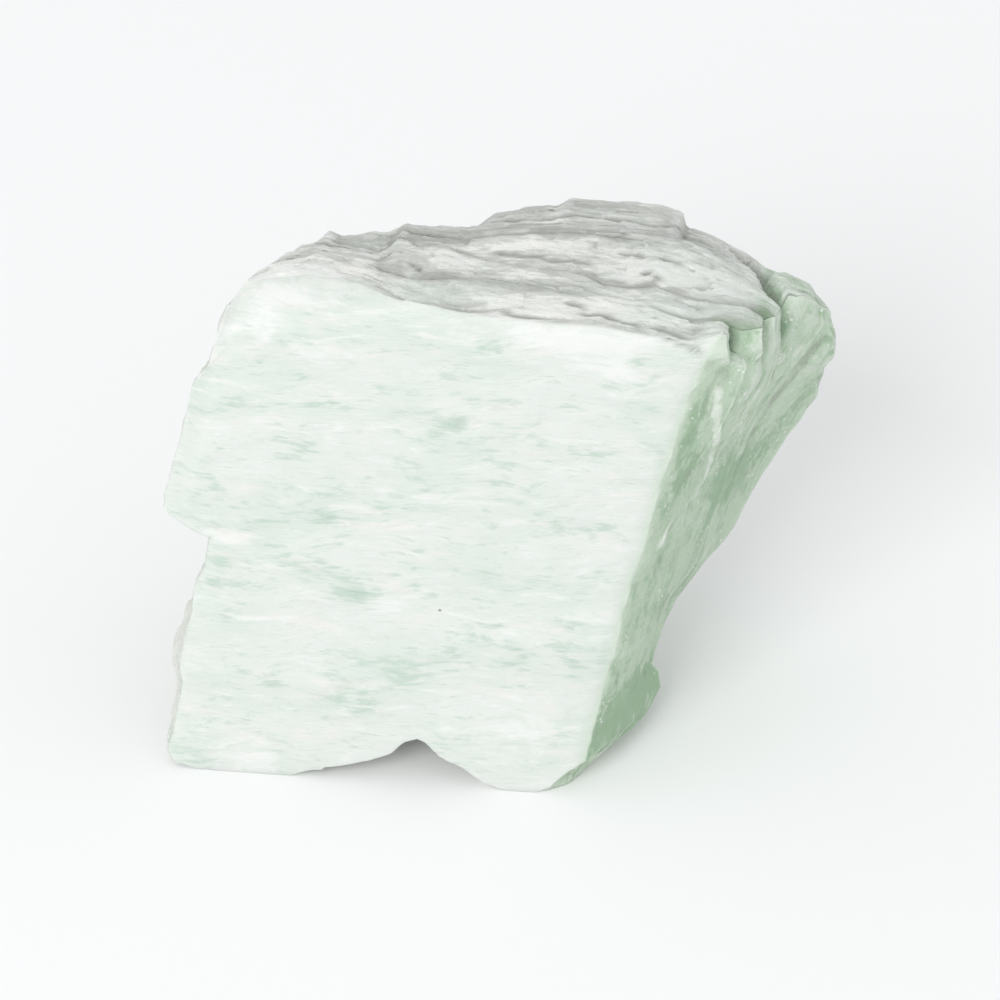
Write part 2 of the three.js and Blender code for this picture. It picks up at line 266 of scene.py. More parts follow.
# the stone's shape in millimetres along its sheets: across, up, and deep from the front face
stoneShape = {
    "lean": 17,
    "yaw": 6,
    "middle": (0.0757, 13.0467),  # of the box on the ground, taken off to bring it over the origin
    "depth": 18.5,
    "sheetEnds": [3.3, 5.8, 8.8, 11.2, 13.6, 16.2],
    "frontLeft": [
        (1.2, -20.2), (2.3, -19.9), (3.9, -19.6), (5.7, -19.3), (6.9, -19.5), (8.5, -19.2), (10.4, -18.8),
        (11.9, -18.7), (13.1, -18.1), (15.2, -17.8), (15.5, -18.9), (16.1, -20.3), (16.4, -20.7),
        (17.8, -20.5), (19.6, -20.1), (21.4, -19.6), (23.8, -19.2), (25.3, -18.7), (26, -18),
        (27.8, -17.6), (29.4, -17.2),
    ],
    "frontRight": [
        (2, 5), (4.3, 5.4), (6.5, 5.9), (8.7, 6.4), (11.1, 6.8), (13.6, 7.3), (15.4, 7.9), (17.5, 8.3),
        (19.9, 8.8), (22.3, 9.5), (25, 10.2), (27.1, 11), (29.3, 12),
    ],
    "frontTop": [
        (-17.2, 29.4), (-16, 31), (-12.5, 31.1), (-9.7, 30.6), (-7.7, 30.1), (-4.9, 29.8), (-2.6, 29.4),
        (2.2, 29.2), (5, 29.2), (7.8, 28.8), (10.4, 28.6), (12, 29.3),
    ],
    "frontFoot": [
        (-20.2, 1.2), (-19.8, 0.4), (-18.1, 0), (-14, 0), (-12.5, 0.1), (-11.4, 0.5), (-9.3, 0.9),
        (-7.9, 1.3), (-6.7, 1.8), (-5.9, 2.6), (-5.1, 2.9), (-4.6, 2.7), (-3.8, 2), (-2.4, 1.3),
        (-1.2, 0.5), (0, 0.1), (1.8, 0), (2.9, 0.4), (4, 1.5), (5, 2),
    ],
    "topRidge": [
        (-17, 1.5, 29.3), (-16, 3.5, 30.2), (-14.5, 5.3, 30.9), (-12, 8.2, 31.65), (-9.5, 8.8, 31.7),
        (-8.4, 9.2, 31.7), (-7.7, 9.3, 32.1), (-3, 9.2, 32.2), (0, 9.1, 32.5), (4.5, 9, 32.3),
        (9.3, 9, 32), (12, 9, 31.1), (13.8, 9.4, 30.4), (15.2, 10.8, 30.2), (16.6, 11, 29.6),
        (17.4, 10, 28.8), (18.2, 9.5, 28),
    ],
    "rearLeft": [(5.6, -16.8), (9, -17.8), (14, -17), (17, -18), (23.5, -16.5)],
    "rearRight": [
        (2.2, 6, 1.8), (2.4, 7.6, 4.8), (2.7, 8.5, 6.8), (3.2, 8.9, 7.7), (4.3, 8.7, 7.6), (5.2, 8.3, 7),
        (5.9, 8.5, 7.4), (7.4, 9, 8.4), (8.4, 9.6, 9.6), (8.9, 10.5, 11.4), (9.4, 11.7, 13.6),
        (10.1, 12.6, 15.4), (12.2, 13.5, 16.5), (15, 14.8, 17.1), (19.3, 16.4, 16.5), (23.5, 17.5, 13.5),
    ],
    "rearTop": [
        (-16.5, 23.5), (-12, 25.5), (-8, 27.5), (-4, 30), (-2.9, 31.2), (-0.6, 31.7), (0.9, 31.9),
        (1.6, 32.4), (5, 32.3), (7, 32.2), (8.5, 31.9), (8.8, 31), (10.3, 30.7), (12.6, 29.9),
        (14.7, 28.7), (15.5, 27.5), (17.5, 23.5),
    ],
    "knob": [(6.2, 15.2), (7.5, 17), (9.5, 18.2), (11.5, 18.1), (13.5, 17.5)],
    "sheetRightEnds": [12.3, 14.3, 15],
    "ledgeFeet": [(0.92, 0.95), (0.83, 0.93), (0.85, 0.91)],
    "restSpots": [(-15.6, 3, 4.4), (1.4, 2.6, 3.6), (-12.5, 15.2, 4.6), (-3.6, 15.8, 4)],
    "leftReach": 0.62,  # the share of the depth over which the left outline turns from front to rear
    "topBend": (0.72, 1),  # the shares of the height over which the sheets bend to their lines on the top
    "swing": (0.2, 0.6),  # how far the sheets swing askew at mid-depth, and about which place across
    "rightWaver": (0.022, 11, 0.75),  # high, number of waves, from which place across
}

# where the first three sheets end on the top, as (across, deep)
topLines = [
    [
        (-18, 4), (-12.5, 5), (-9.1, 4.4), (-7.7, 3.7), (-6.7, 3.4), (-5.5, 3.6), (-3, 4.3),
        (-2.1, 4.4), (-0.3, 4.1), (2, 3.4), (3.7, 3.1), (5.7, 2.7), (7.9, 2.7), (9.4, 2.3), (12.2, 2.3),
    ],
    [
        (-18, 6.4), (-12.5, 6.6), (-11.7, 6), (-10.9, 6.1), (-10.2, 5.9), (-8.8, 5.7), (-7.8, 8),
        (-7.1, 7.5), (-6.6, 7.1), (-4.8, 7.2), (-3.6, 6.6), (-2.4, 5.9), (-0.9, 5.5), (2.5, 5.6),
        (3.6, 5.2), (4.8, 4.3), (6.3, 4.4), (7.7, 5), (9.7, 4.3), (10.7, 4.3), (12.2, 3.7), (14.1, 4.3),
    ],
    [
        (-18, 8.4), (-10, 8.9), (-7.6, 9), (-5.6, 8.6), (-3.7, 8.3), (-1.7, 8.8), (-0.1, 8.8),
        (2.6, 9.1), (5.1, 9.3), (9, 9), (15, 7.4),
    ],
]

# how wide open each seam is, 0 to 1: on the top by (across, gape), on the right and left by (up, gape)
seamHalfWidth = 0.14
topSeams = {
    3.3: [
        (-9.2, 0), (-8.6, 1), (-7.2, 1), (-6.6, 0.2), (-6, 0.7), (-5.2, 0.9), (-2, 0.6), (0, 0.3),
        (2, 0.1), (6.5, 0.2), (8.6, 0.7), (12.6, 0.8),
    ],
    5.8: [
        (-12.8, 0), (-12.3, 1), (-9, 1), (-8.7, 0), (-8, 0.3), (-7.6, 1), (-5, 0.9), (-2.4, 0.8),
        (0, 0.5), (2.5, 0.4), (4.2, 0.8), (5.5, 1), (9.7, 1), (12, 0.7), (14, 0.9),
    ],
    8.8: [
        (-7.6, 0), (-6, 0.6), (-3, 0.7), (0, 0.9), (2.6, 0.8), (5, 0.4), (8, 0.15), (13, 0.15),
        (17, 0.8),
    ],
    11.2: [(-8, 0), (-4, 0.7), (2, 1), (8, 0.9), (13, 0)],
    16.2: [(-16, 0), (-12, 1), (-6, 0.7), (1, 0)],
}
rightSeams = {
    3.3: [(27, 0), (27.9, 1), (31, 1)],
    5.8: [(23.5, 0), (26.5, 0.5), (28, 0.9), (31, 1)],
    8.8: [(25.3, 0), (27, 1), (31, 1)],
    11.2: [(15, 0), (18, 0.12), (23, 0.15), (27, 0.1)],
}
leftSeams = {deep: [(0, 0.5), (9, 0.2), (15, 0.8), (24, 0.3), (30, 0.6)] for deep in (3.3, 5.8, 11.2, 16.2)}

stoneRelief = {
    "step": {"top": 0.15, "left": 0.8, "right": 0.08},
    "stepLook": (7, 3.7),  # length, and the hash's step from sheet to sheet
    "tilt": {"top": 0.15, "left": 0.6, "right": 0.08},
    "tiltLook": (9, 5.3),
    "sheetGrows": 1.5,
    "facet": {"top": 0.12, "left": 0.2, "right": 0.05},
    "facetLook": (1.9, 0.75),  # length, width
    "seamCut": {"top": 0.26, "left": 0.4, "right": 0.6},
    "shadowReach": (0.36, 0.2, 0.9, 0.4),  # mean, change, its two lengths
    "shadowShare": (0.95, 0.35, 1.1),  # mean, change, length
    "shadowFade": (1, 0.35),
    "seed": {"left": 11, "right": 21, "top": 31},
    "leafStep": {"top": 0.08, "left": 0.2, "right": 0.02},
    "leafRun": {"top": 2.4, "left": 4.5, "right": 3},
    "leafRow": 2.9,
    "leafGrows": 0.8,
    "leafThin": 0.34,
    "leafThick": 0.85,
    "leafSoft": 0.1,
    "leafHash": (7.3, 2.1),
    "breakDepth": {"top": 0.04, "right": 0.05, "left": 0.09, "rear": 0.09, "foot": 0.1, "front": 0.008},
    "hackleStretch": (0.6, 1.5),
    "hackleFacets": [(0.8, 1.3, 3), (0.5, 0.6, 4)],  # height, size, seed
    "hackleGrain": 0.9,
    "hackleClear": 0.5,  # millimetres above the ground at which it has its full depth
    # the crevice attribute worked out from these sets the painted shade in the hollows
    "crevices": [(4, 3), (24, 1.1)],  # rounds of smoothing, strength
    "sharpAngle": 38,
    "acrossLines": 148,
    "upLines": 106,
    "endInset": 0.002,
    "deepStep": 0.26,
    "coarseFrom": 10,
    "coarser": 1.5,
    "stretch": 0.3,
    "endLines": (0.08, 0.2),
    "edgeStep": 0.035,
    "ledgeStep": 0.16,
    "ledgeMelt": 1.25,
}


def leafEnds(shape, relief):
    # sheet ends, with leaves of hashed thickness ruled between each two
    ends = [0.0, *shape["sheetEnds"], shape["depth"]]
    step, first = relief["leafHash"]
    found = []
    for low, high in zip(ends[:-1], ends[1:]):
        at = low
        while high - at > relief["leafThick"] + relief["leafThin"]:
            share = 0.5 + 0.5 * float(hashed(np.array(at * step + first)))
            at += mix(relief["leafThin"], relief["leafThick"], share)
            found.append(at)
        found.append(high)
    return np.array(found)


leaves = leafEnds(stoneShape, stoneRelief)


def sheetRelief(side, place, depth, deep):
    # step + tilt * (place in the sheet) + flat facets + a level for each leaf, growing from the front
    relief = stoneRelief
    ends = np.array([0.0, *stoneShape["sheetEnds"], stoneShape["depth"]])
    sheet = np.searchsorted(ends[1:-1], depth)
    within = (depth - ends[sheet]) / (ends[sheet + 1] - ends[sheet]) - 0.5
    seed = relief["seed"][side]
    length, row = relief["stepLook"]
    step = relief["step"][side] * noise(place / length, sheet * row, seed)
    length, row = relief["tiltLook"]
    tilt = relief["tilt"][side] * noise(place / length, sheet * row, seed + 1)
    length, width = relief["facetLook"]
    x, y = np.broadcast_arrays(place / length, depth / width)
    facet = relief["facet"][side] * brokenFacets(np.stack([x, y], 1), 1.0, seed + 2)
    leaf = np.minimum(np.searchsorted(leaves, depth), len(leaves) - 2)
    run, row = relief["leafRun"][side], relief["leafRow"]
    near = noise(place / run, leaf * row, seed + 4)
    far = noise(place / run, (leaf + 1) * row, seed + 4)
    level = mix(near, far, rise(depth, leaves[leaf] - relief["leafSoft"], leaves[leaf]))
    large = (step + tilt * within + facet) * rise(deep, 0, relief["sheetGrows"])
    return large + relief["leafStep"][side] * level * rise(deep, 0, relief["leafGrows"])


def seamCut(side, seams, place, depth):
    # the deepest V over the open seams: gape * (1 - distance / half width)
    cut = 0 * place
    for deep, gape in seams.items():
        cut = np.maximum(cut, follow(gape, place) * clamp01(1 - abs(deep - depth) / seamHalfWidth))
    return stoneRelief["seamCut"][side] * cut


def seamShadow(seams, place, depth):
    # gape * ragged share, full inside the seam and gone a ragged way out from it
    reach, wander, coarse, fine = stoneRelief["shadowReach"]
    mean, change, length = stoneRelief["shadowShare"]
    dark = 0 * place
    for deep, gape in seams.items():
        row = 0 * place + deep
        ragged = noise(place / coarse, row, 14) + 0.6 * noise(place / fine, row, 15)
        out = abs(deep - depth) / (reach + wander * ragged)
        share = clamp01(mean + change * noise(place / length, row, 16))
        dark = np.maximum(dark, follow(gape, place) * share * rise(out, *stoneRelief["shadowFade"]))
    return dark


def cornerCut(seams, place, depth):
    # a seam's V in front of the sheet's end, then back to nothing along the ledge behind it
    near = stoneRelief["ledgeStep"]
    cut = 0 * place
    for deep, gape in seams.items():
        before = clamp01(1 - (deep - near - depth) / seamHalfWidth)
        past = clamp01(1 - (depth - deep + near) / (2 * near))
        cut = np.maximum(cut, follow(gape, place) * np.minimum(before, past))
    return stoneRelief["seamCut"]["right"] * cut


# the right side: a swell over its middle, a ramp out to the sheets' ends at the top, and a low crest
rightForm = {
    "swell": (0.7, 0.42, (0, 0.3)),  # high, place in the depth, rise up from the foot
    "knobBlur": 0.04,
    "waver": (0.25, 1.7, 2.5),  # high, length up, length deep
    "ramp": (3.1, 0.4, (0.91, 0.96)),  # depth below and above, where it changes
    "outFront": (0.62, 0.96),
    "outRear": (0.62, 0.34),
    "outDeep": (0.42, 0.56),
    "reliefUp": (0.3, 0.7),
    "reliefDeep": (1, 0.87),
}
crestForm = {
    "places": [
        (14, 1.3), (15.4, 1.8), (16.6, 2.3), (17.2, 3.8), (17.8, 5.1), (18.8, 5.7), (19.8, 5.6),
        (20.6, 4.9), (21.4, 4), (23.1, 2.7), (24.5, 2.3), (26.5, 2), (29, 1.6),
    ],
    "foot": (14.5, 16.5),
    "raised": (0.12, 0.5, (28, 26)),  # high, half width, fade at the head
    "pale": (1.6, 0.38, 0.14, (27, 25)),  # strength, half width, its change along, fade at the head
    "chips": (0.7, 0.75, 0.6),  # length, mean share, change
}


def sheetEnd(w, depth, knob):
    # the right ends of the first three sheets, then the knob; the ramps between melt away below
    place = stoneShape["sheetRightEnds"][0] + 0 * depth
    beyond = [*stoneShape["sheetRightEnds"][1:], knob]
    for deep, end, (foot, clear) in zip(stoneShape["sheetEnds"], beyond, stoneShape["ledgeFeet"]):
        near = mix(stoneRelief["ledgeStep"], stoneRelief["ledgeMelt"], rise(w, clear, foot))
        place = mix(place, end, clamp01((depth - deep + near) / (2 * near)))
    return place


def leftAcross(w, t):
    # front outline to rear outline over the first part of the depth, less the sheets' relief
    depth = t * stoneShape["depth"]
    height = along(stoneShape["frontLeft"], w)
    rear = traced(stoneShape["rearLeft"], w)
    outline = mix(follow(stoneShape["frontLeft"], height), rear, rise(t, 0, stoneShape["leftReach"]))
    return outline - sheetRelief("left", height, depth, depth) + seamCut("left", leftSeams, height, depth)


def rightAcross(w, t):
    # front outline to rear outline with a swell between; at the top it steps out to the sheets' own ends
    form = rightForm
    depth = t * stoneShape["depth"]
    height = along(stoneShape["frontRight"], w)
    front = follow(stoneShape["frontRight"], height)
    high, middle, grows = form["swell"]
    swell = high * hump(t / middle - 1) * rise(w, *grows)
    outline = mix(front, traced(stoneShape["rearRight"], w), t) + swell
    high, upLength, deepLength = form["waver"]
    waver = high * noise(height / upLength, depth / deepLength, 83)
    below, above, change = form["ramp"]
    ramp = clamp01(depth / mix(below, above, rise(w, *change)))
    stepped = mix(front, sheetEnd(w, depth, knobAcross(t)) + waver, ramp)
    high, halfWidth, head = crestForm["raised"]
    relief = sheetRelief("right", height, depth, depth) * rise(t, *form["reliefDeep"])
    relief = relief + high * crestShare(height, depth, head, halfWidth)
    start, span = form["outRear"]
    out = mix(rise(w, *form["outFront"]), clamp01((w - start) / span) ** 2, rise(t, *form["outDeep"]))
    cut = cornerCut(rightSeams, height, depth)
    return mix(outline, stepped, out) + relief * rise(w, *form["reliefUp"]) - cut


def knobAcross(t):
    # the knob's outline, as the mean of three places a little apart
    blur, end = rightForm["knobBlur"], stoneShape["knob"][-1][0]
    return sum(follow(stoneShape["knob"], (t + away) * end) for away in (-blur, 0, blur)) / 3


def crestChips(height):
    # noise along the height alone
    return noise(height / crestForm["chips"][0], 0 * height, 93)


def crestShare(height, depth, head, halfWidth):
    # the right side's low crest: a hump across its line, faded at its foot and head, times its chips
    line = hump((depth - follow(crestForm["places"], height)) / halfWidth)
    mean, change = crestForm["chips"][1:]
    chipped = clamp01(mean + change * crestChips(height))
    return line * rise(height, *crestForm["foot"]) * rise(height, *head) * chipped


# small cracks that lie inside the sheets, as (cut, half width, points)
topCracks = [
    (0.22, 0.28, [(-7.1, 5.2), (-6.4, 4.5), (-5.8, 3.9), (-5.2, 3.6)]),
    (0.14, 0.2, [(-2.5, 6.8), (-0.1, 6.5), (1.4, 6.1), (2.8, 6.4), (4.3, 6.1)]),
    (0.14, 0.22, [(2.2, 2.4), (3.2, 2.2), (4.4, 1.9)]),
    (0.22, 0.28, [(3.2, 1.5), (5.1, 1.2), (6.3, 1), (7.7, 0.9)]),
    (0.12, 0.2, [(-1.6, 0.9), (0.4, 0.7), (2.2, 0.6)]),
    (0.15, 0.2, [(7.4, 0.9), (8.6, 0.7), (9.6, 0.4), (10.6, 0.1)]),
    (0.12, 0.16, [(4.6, 7.8), (7, 7.4), (9.6, 7.3)]),
    (0.12, 0.16, [(6, 5.4), (7.2, 5.9), (8.6, 5.5)]),
    (0.3, 0.25, [(-4, 13.2), (0, 12.6), (3, 13.2), (7, 12.9), (9.5, 13.5)]),
]
frontCracks = [
    (0.15, 0.2, [(7, 29.2), (8.6, 28.9), (10, 28.3), (11.4, 27.9)]),
]

# small teeth along the ridge: across, deep, half width, height
topBumps = [(-11.9, 7.6, 0.5, 0.3), (-9.6, 8.4, 0.6, 0.12), (-7.6, 8.9, 0.4, 0.12), (8.3, 12.5, 0.5, 0.15)]

# the top: a hollow, a brow that rolls over at the left, the knob's crevice, and the ledges' shoulder
topForm = {
    "hollow": (0.6, (-4.6, 4), (1.7, 1.4)),  # depth, then middle and half size across and deep
    "brow": (0.35, 2.2, (-9, -13)),  # drop, width, where it grows across
    "groove": (1.4, 0.7, 15.2, 0.4),  # depth, half width, place across, slant
    "grooveEnds": [(6.2, 7.7), (1, 0.8)],
    "shoulder": (0.55, 1.4, (0, 1), (8.8, 8.4)),  # drop, width, where it starts and stops in the depth
    "bumpDeep": 1.6,
    "frontFade": 0.5,
    "rearFades": (0.97, 0.92),
}


def topUp(s, t):
    # front outline up to the ridge, then down to the rear outline, with the sheets' relief less each hollow
    across = mix(leftAcross(1.0, t), rightAcross(1.0, t), s)
    deep = deepAt(s, np.ones_like(s), t)
    depth = t * stoneShape["depth"]
    ridge = follow(stoneShape["topRidge"], across)
    crest = follow(stoneShape["topRidge"], across, 2)
    level = mix(follow(stoneShape["frontTop"], across), crest, deep / ridge)
    rear = rearDeep(s, np.ones_like(s))
    fall = mix(crest, follow(stoneShape["rearTop"], across), (deep - ridge) / (rear - ridge))
    form = topForm
    high, (x, width), (y, length) = form["hollow"]
    hollow = high * hump((across - x) / width, (deep - y) / length)
    high, width, grows = form["brow"]
    fromFront = deep - frontDeep(s, np.ones_like(s))
    brow = high * clamp01(1 - fromFront / width) ** 2 * rise(across, *grows)
    high, halfWidth, x, slant = form["groove"]
    start, end = form["grooveEnds"]
    groove = high * hump((across - x + slant * np.maximum(0, deep - start[0])) / halfWidth)
    groove = groove * rise(deep, *start) * rise(t, *end)
    high, width, starts, stops = form["shoulder"]
    fromRight = (1 - s) * (rightAcross(1.0, t) - leftAcross(1.0, t))
    shoulder = high * clamp01(1 - fromRight / width) ** 2 * rise(depth, *stops) * rise(deep, *starts)
    length = form["bumpDeep"]
    bumps = sum(high * hump((across - x) / width, (deep - y) / length) for x, y, width, high in topBumps)
    cutFade, reliefFade = form["rearFades"]
    edges = rise(deep, 0, form["frontFade"]) * rise(t, 1, cutFade)
    cut = (seamCut("top", topSeams, across, depth) + cracks(topCracks, across, deep)[0]) * edges
    relief = sheetRelief("top", across, depth, deep) * rise(t, 1, reliefFade) - cut
    return np.where(deep < ridge, level, fall) + relief + bumps - hollow - brow - groove - shoulder


# the foot: rough ground behind the lobes, worn flat at the rest spots
footForm = {
    "rough": (0.9, 0.8, 4.2),  # mean, change, size
    "lobesDeep": 9,
    "worn": (2.6, 1.5),
}


def footHeight(s, deep):
    # the front's lobes, fading into rough ground behind, less the worn spots, never below the ground
    across = along(stoneShape["frontFoot"], s)
    lobes = follow(stoneShape["frontFoot"], across) * math.cos(math.radians(stoneShape["lean"]))
    mean, change, size = footForm["rough"]
    rough = mean + change * roughness(across / size, deep / size, 61)
    spots = [hump((across - x) / size, (deep - y) / size) for x, y, size in stoneShape["restSpots"]]
    worn, grows = footForm["worn"]
    ground = mix(lobes, rough, rise(deep, 0, footForm["lobesDeep"]))
    return np.maximum(0, ground - worn * np.max(spots, axis=0) * rise(deep, 0, grows))


# the front face: its bevels, its dropped edges, its slow waver and the thin plates lost from it
frontForm = {
    "topLeft": (1.5, 3.4, (0.42, 0.2)),  # each bevel's drop, width, and where it grows or fades
    "left": (0.7, 0.053, (15.2, 16.2), (25.6, 24.6)),
    "right": (0.3, 0.045, (29, 26)),
    "drop": 0.25,
    "waver": (0.16, 12, 3.2),  # high, length across, length up
    "plate": 0.06,
    "plates": [(7.5, 2.1, 52, (0.1, 0.19)), (4.5, 1.3, 55, (0.28, 0.36))],  # size, seed, edge
}


def frontUp(s, w):
    # from the foot outline to the top outline
    return mix(traced(stoneShape["frontFoot"], s), traced(stoneShape["frontTop"], s), w)


def frontDeep(s, w):
    # bevels at the top, left and right, a drop at every edge, slow waver, thin plates lost
    across = along(stoneShape["frontFoot"], s)
    up = frontUp(s, w)
    drop, width, grows = frontForm["topLeft"]
    below = up - traced(stoneShape["frontTop"], s)
    topLeft = drop * clamp01((below + width) / width) ** 2 * rise(s, *grows)
    drop, width, foot, head = frontForm["left"]
    left = drop * clamp01(1 - s / width) * rise(up, *foot) * rise(up, *head)
    drop, width, foot = frontForm["right"]
    right = drop * clamp01(1 - (1 - s) / width) ** 2 * rise(up, *foot)
    edge = frontForm["drop"] * (1 - hump(2 * s - 1) * np.sqrt(hump(2 * w - 1))) ** 3
    high, length, height = frontForm["waver"]
    waver = high * noise(across / length, up / height, 51)
    plates = sum(rise(roughness(across / x, up / y, seed), *rim) for x, y, seed, rim in frontForm["plates"])
    return topLeft + left + right + edge + waver + frontForm["plate"] * plates


# the rear: a missing flake, slow waver, thin plates, and a broken facet at the right
rearForm = {
    "flake": (0.6, 0.3, 0.09),  # place across, slant, edge
    "waver": (0.6, 5),
    "plates": (0.3, 5.5, 7, (0.05, 0.09)),  # thickness, numbers across and up, edge
    "facetAcross": 0.3,
}


def rearDeep(s, w):
    # full depth less a missing flake and thin plates, drawn forward over the broken facet at the right
    place, slant, rim = rearForm["flake"]
    flake = smooth((s - place + slant * w) / rim)
    high, count = rearForm["waver"]
    full = stoneShape["depth"] - flake + high * roughness(s * count, w * count, 42)
    thick, countAcross, countUp, rim = rearForm["plates"]
    full = full - thick * rise(roughness(s * countAcross, w * countUp, 47), *rim)
    return mix(traced(stoneShape["rearRight"], w, 2), full, clamp01((1 - s) / rearForm["facetAcross"]))


def deepAt(s, w, t):
    # front to rear by t, swung askew at mid-depth; near the top the sheets' ends bend to their lines
    front, rear = frontDeep(s, w), rearDeep(s, w)
    swing, middle = stoneShape["swing"]
    skewed = t + swing * (middle - s) * t * (1 - t)
    high, count, start = stoneShape["rightWaver"]
    skewed = skewed + high * noise(w * count, 0 * w + 2.5, 81) * rise(s, start, 1) * hump(2 * t - 1)
    across = mix(leftAcross(1.0, t), rightAcross(1.0, t), s)
    plain = [0.0, *[end / stoneShape["depth"] for end in stoneShape["sheetEnds"][:3]], 1.0]
    bent = [0 * t, *[(follow(line, across) - front) / (rear - front) for line in topLines], 0 * t + 1]
    bend = 0 * t
    for k in range(4):
        share = (t - plain[k]) / (plain[k + 1] - plain[k])
        bend = np.where((share >= 0) & (share <= 1), mix(bent[k], bent[k + 1], share), bend)
    return mix(front, rear, mix(skewed, bend, rise(w, *stoneShape["topBend"])))


def sheetPlace(s, w, t):
    # between the left and right, the foot and top, and the front and rear surfaces
    lean = math.radians(stoneShape["lean"])
    across = mix(leftAcross(w, t), rightAcross(w, t), s)
    deep = deepAt(s, w, t)
    foot = (footHeight(s, deep) + deep * math.sin(lean)) / math.cos(lean)
    return across, mix(foot, topUp(s, t), w), deep


def standUp(across, up, deep):
    # lean back about X, turn about Z, then shift the box's middle over the origin
    lean = math.radians(stoneShape["lean"])
    yaw = math.radians(stoneShape["yaw"])
    back = deep * math.cos(lean) + up * math.sin(lean)
    x = across * math.cos(yaw) + back * math.sin(yaw) - stoneShape["middle"][0]
    y = back * math.cos(yaw) - across * math.sin(yaw) - stoneShape["middle"][1]
    z = up * math.cos(lean) - deep * math.sin(lean)
    return np.stack([x, y, z], 1)


def ruledDeep():
    # six lines up each sheet's end, a pair at each leaf's, five across each seam, then even ones between
    relief, depth = stoneRelief, stoneShape["depth"]
    near = relief["edgeStep"]
    lines = [0, *relief["endLines"], *[depth - away for away in relief["endLines"]], depth]
    atSheet = [-near, near] + [k * relief["ledgeStep"] / 2 for k in (-2, -1, 1, 2)]
    for end in leaves:
        steps = atSheet if end in stoneShape["sheetEnds"] else [-relief["leafSoft"], 0]
        lines += [end + step for step in steps]
    for deep in topSeams:
        lines += [deep + k * seamHalfWidth / 2 for k in (-2, -1, 0, 1, 2)]
    lines = np.unique(np.round(np.clip(lines, 0, depth), 4))
    filled = [lines[:1]]
    for low, high in zip(lines[:-1], lines[1:]):
        step = relief["deepStep"] * (1 if high < relief["coarseFrom"] else relief["coarser"])
        count = max(1, math.ceil((high - low) / step - relief["stretch"]))
        filled.append(np.linspace(low, high, count + 1)[1:])
    return np.concatenate(filled) / depth


def ruledEven(count):
    # even lines, with one more close inside each end
    inset = stoneRelief["endInset"]
    return np.unique([*np.linspace(0, 1, count), inset, 1 - inset])


def boxSkin(acrossLines, upLines, deepLines):
    # each side is a grid of two line numbers, the third held; sides share the vertices of their edges
    ns, nw, nt = len(acrossLines) - 1, len(upLines) - 1, len(deepLines) - 1

    def side(countA, countB, at):
        a, b = np.meshgrid(np.arange(countA + 1), np.arange(countB + 1), indexing="ij")
        i, j, k = at(a, b)
        key = (i * (nw + 1) + j) * (nt + 1) + k
        return np.stack([key[:-1, :-1], key[1:, :-1], key[1:, 1:], key[:-1, 1:]], -1).reshape(-1, 4)

    quads = np.concatenate([
        side(ns, nw, lambda a, b: (a, b, 0)),  # front
        side(nw, ns, lambda a, b: (b, a, nt)),  # rear
        side(nt, nw, lambda a, b: (ns, b, a)),  # right
        side(nw, nt, lambda a, b: (0, a, b)),  # left
        side(ns, nt, lambda a, b: (a, nw, b)),  # top
        side(nt, ns, lambda a, b: (b, 0, a)),  # foot
    ])
    used, corners = np.unique(quads, return_inverse=True)
    i, rest = np.divmod(used, (nw + 1) * (nt + 1))
    j, k = np.divmod(rest, nt + 1)
    return acrossLines[i], upLines[j], deepLines[k], corners.reshape(-1, 4)


def vertexNormals(points, quads):
    # the sum of the crossed diagonals of the faces round each vertex, made one long
    crossed = np.cross(points[quads[:, 2]] - points[quads[:, 0]], points[quads[:, 3]] - points[quads[:, 1]])
    total = np.zeros_like(points)
    for column in range(3):
        weights = np.repeat(crossed[:, column], 4)
        total[:, column] = np.bincount(quads.ravel(), weights, len(points))
    return total / np.maximum(np.linalg.norm(total, axis=1, keepdims=True), 1e-12)


def relaxed(points, quads, rounds):
    # each round moves every vertex to the mean of the vertices joined to it
    starts = np.concatenate([quads, np.roll(quads, 1, axis=1)]).ravel()
    ends = np.concatenate([np.roll(quads, -1, axis=1), quads]).ravel()
    count = np.bincount(starts, minlength=len(points))[:, None]
    for _ in range(rounds):
        total = np.stack([np.bincount(starts, points[ends, c], len(points)) for c in range(3)], 1)
        points = total / count
    return points
